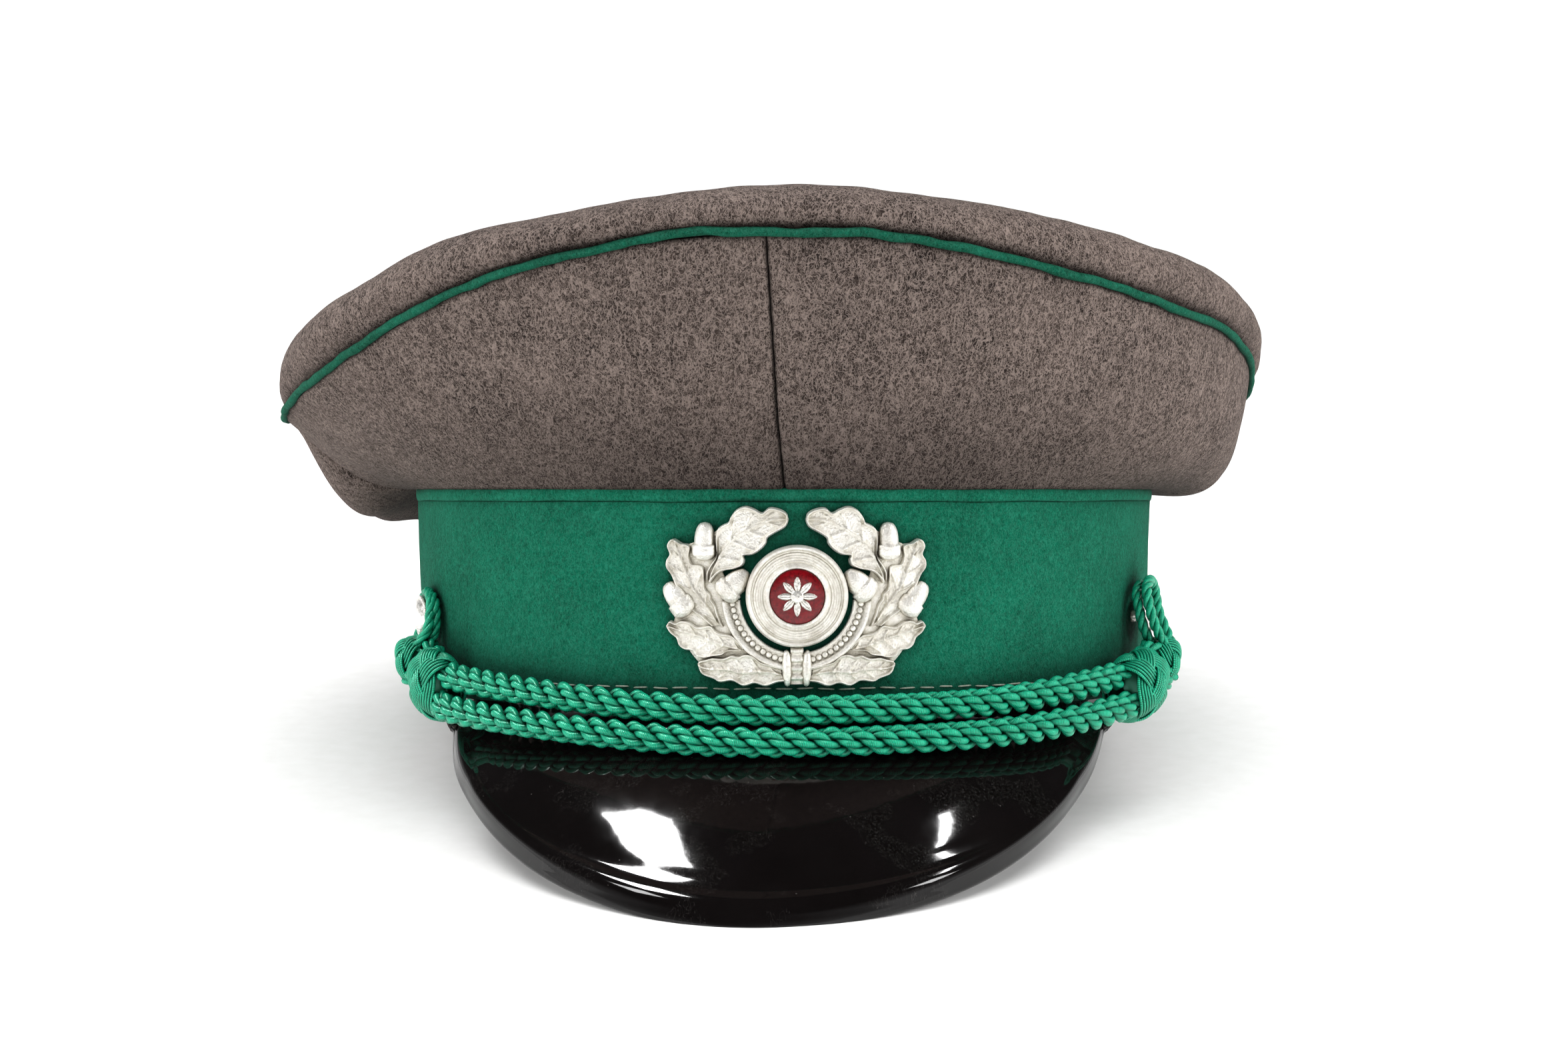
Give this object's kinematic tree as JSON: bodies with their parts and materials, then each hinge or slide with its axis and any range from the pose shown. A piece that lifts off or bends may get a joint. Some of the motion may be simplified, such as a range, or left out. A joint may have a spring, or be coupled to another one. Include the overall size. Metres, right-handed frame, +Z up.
{
  "type": "peaked cap",
  "caption": "Military style peaked cap with a raised oval crown, coloured band, glossy visor, wreath badge and a knotted chin cord between two side buttons.",
  "frame": {"origin": "centre of the bounding box on the surface the cap stands on", "axes": "+Z up, -Y out over the visor, +X to the left of the wearer, which is the right of someone facing the badge; the cap stands tipped nose-up on the visor's lip and the back of the band"},
  "size_m": [0.2498, 0.2956, 0.1497],
  "materials": {
    "wool_stone": "fulled wool melton, stone grey",
    "wool_green": "fulled wool, green",
    "visor_black": "high gloss, moulded",
    "cord_green": "satin rayon gimp",
    "silver": "frosted silver, pressed",
    "enamel_red": "translucent red enamel",
    "leather_brown": "smooth sweatband leather",
    "lining_satin": "satin lining",
    "clear_shield": "clear celluloid",
    "fibre_board": "stiffening board",
    "wadding": "cotton wadding",
    "spring_steel": "tinned"
  },
  "bodies": {
    "cap": {"band_cover": "wool_green", "band_stiffener": "fibre_board", "band_welt": "wool_green", "sweatband": "leather_brown", "visor": "visor_black", "crown_top": "wool_stone", "crown_piping": "wool_green", "crown_side_front_right": "wool_stone", "crown_side_rear_right": "wool_stone", "crown_side_front_left": "wool_stone", "crown_side_rear_left": "wool_stone", "rim_padding": "wadding", "crown_hoop": "spring_steel", "front_stay": "fibre_board", "lining_side": "lining_satin", "lining_top": "lining_satin", "sweat_shield": "clear_shield", "badge_wreath": "silver", "badge_cockade": "silver", "badge_enamel": "enamel_red", "badge_rosette": "silver", "badge_prongs": "spring_steel", "pin_washer_right": "spring_steel", "pin_washer_left": "spring_steel"},
    "chin_cord": {"cord_upper": "cord_green", "cord_lower": "cord_green", "loop_knot_left": "cord_green", "loop_knot_right": "cord_green", "button_loop_left": "cord_green", "button_loop_right": "cord_green"},
    "slide_knot_right": {"slide_knot_right": "cord_green"},
    "slide_knot_left": {"slide_knot_left": "cord_green"},
    "button_right": {"side_button_right": "silver", "split_pin_right": "spring_steel"},
    "button_left": {"side_button_left": "silver", "split_pin_left": "spring_steel"}
  },
  "joints": [
    {"name": "cord_swing", "type": "hinge", "parent": "cap", "child": "chin_cord", "pos_m": [0, -0.03579, 0.04396], "axis": [-1, 0, 0], "range_deg": [0, 1.6]},
    {"name": "knot_slide_right", "type": "hinge", "parent": "chin_cord", "child": "slide_knot_right", "pos_m": [-0.01213, 0.0005, 0.02849], "axis": [0, -0.0548, -0.9985], "range_deg": [0, 9]},
    {"name": "knot_slide_left", "type": "hinge", "parent": "chin_cord", "child": "slide_knot_left", "pos_m": [0.01213, 0.0005, 0.02849], "axis": [0, 0.0548, 0.9985], "range_deg": [0, 9]},
    {"name": "button_turn_right", "type": "hinge", "parent": "cap", "child": "button_right", "pos_m": [0.08409, -0.03579, 0.04396], "axis": [0.94, -0.3404, 0.0215], "continuous": true},
    {"name": "button_turn_left", "type": "hinge", "parent": "cap", "child": "button_left", "pos_m": [-0.08409, -0.03579, 0.04396], "axis": [-0.94, -0.3404, 0.0215], "continuous": true}
  ]
}
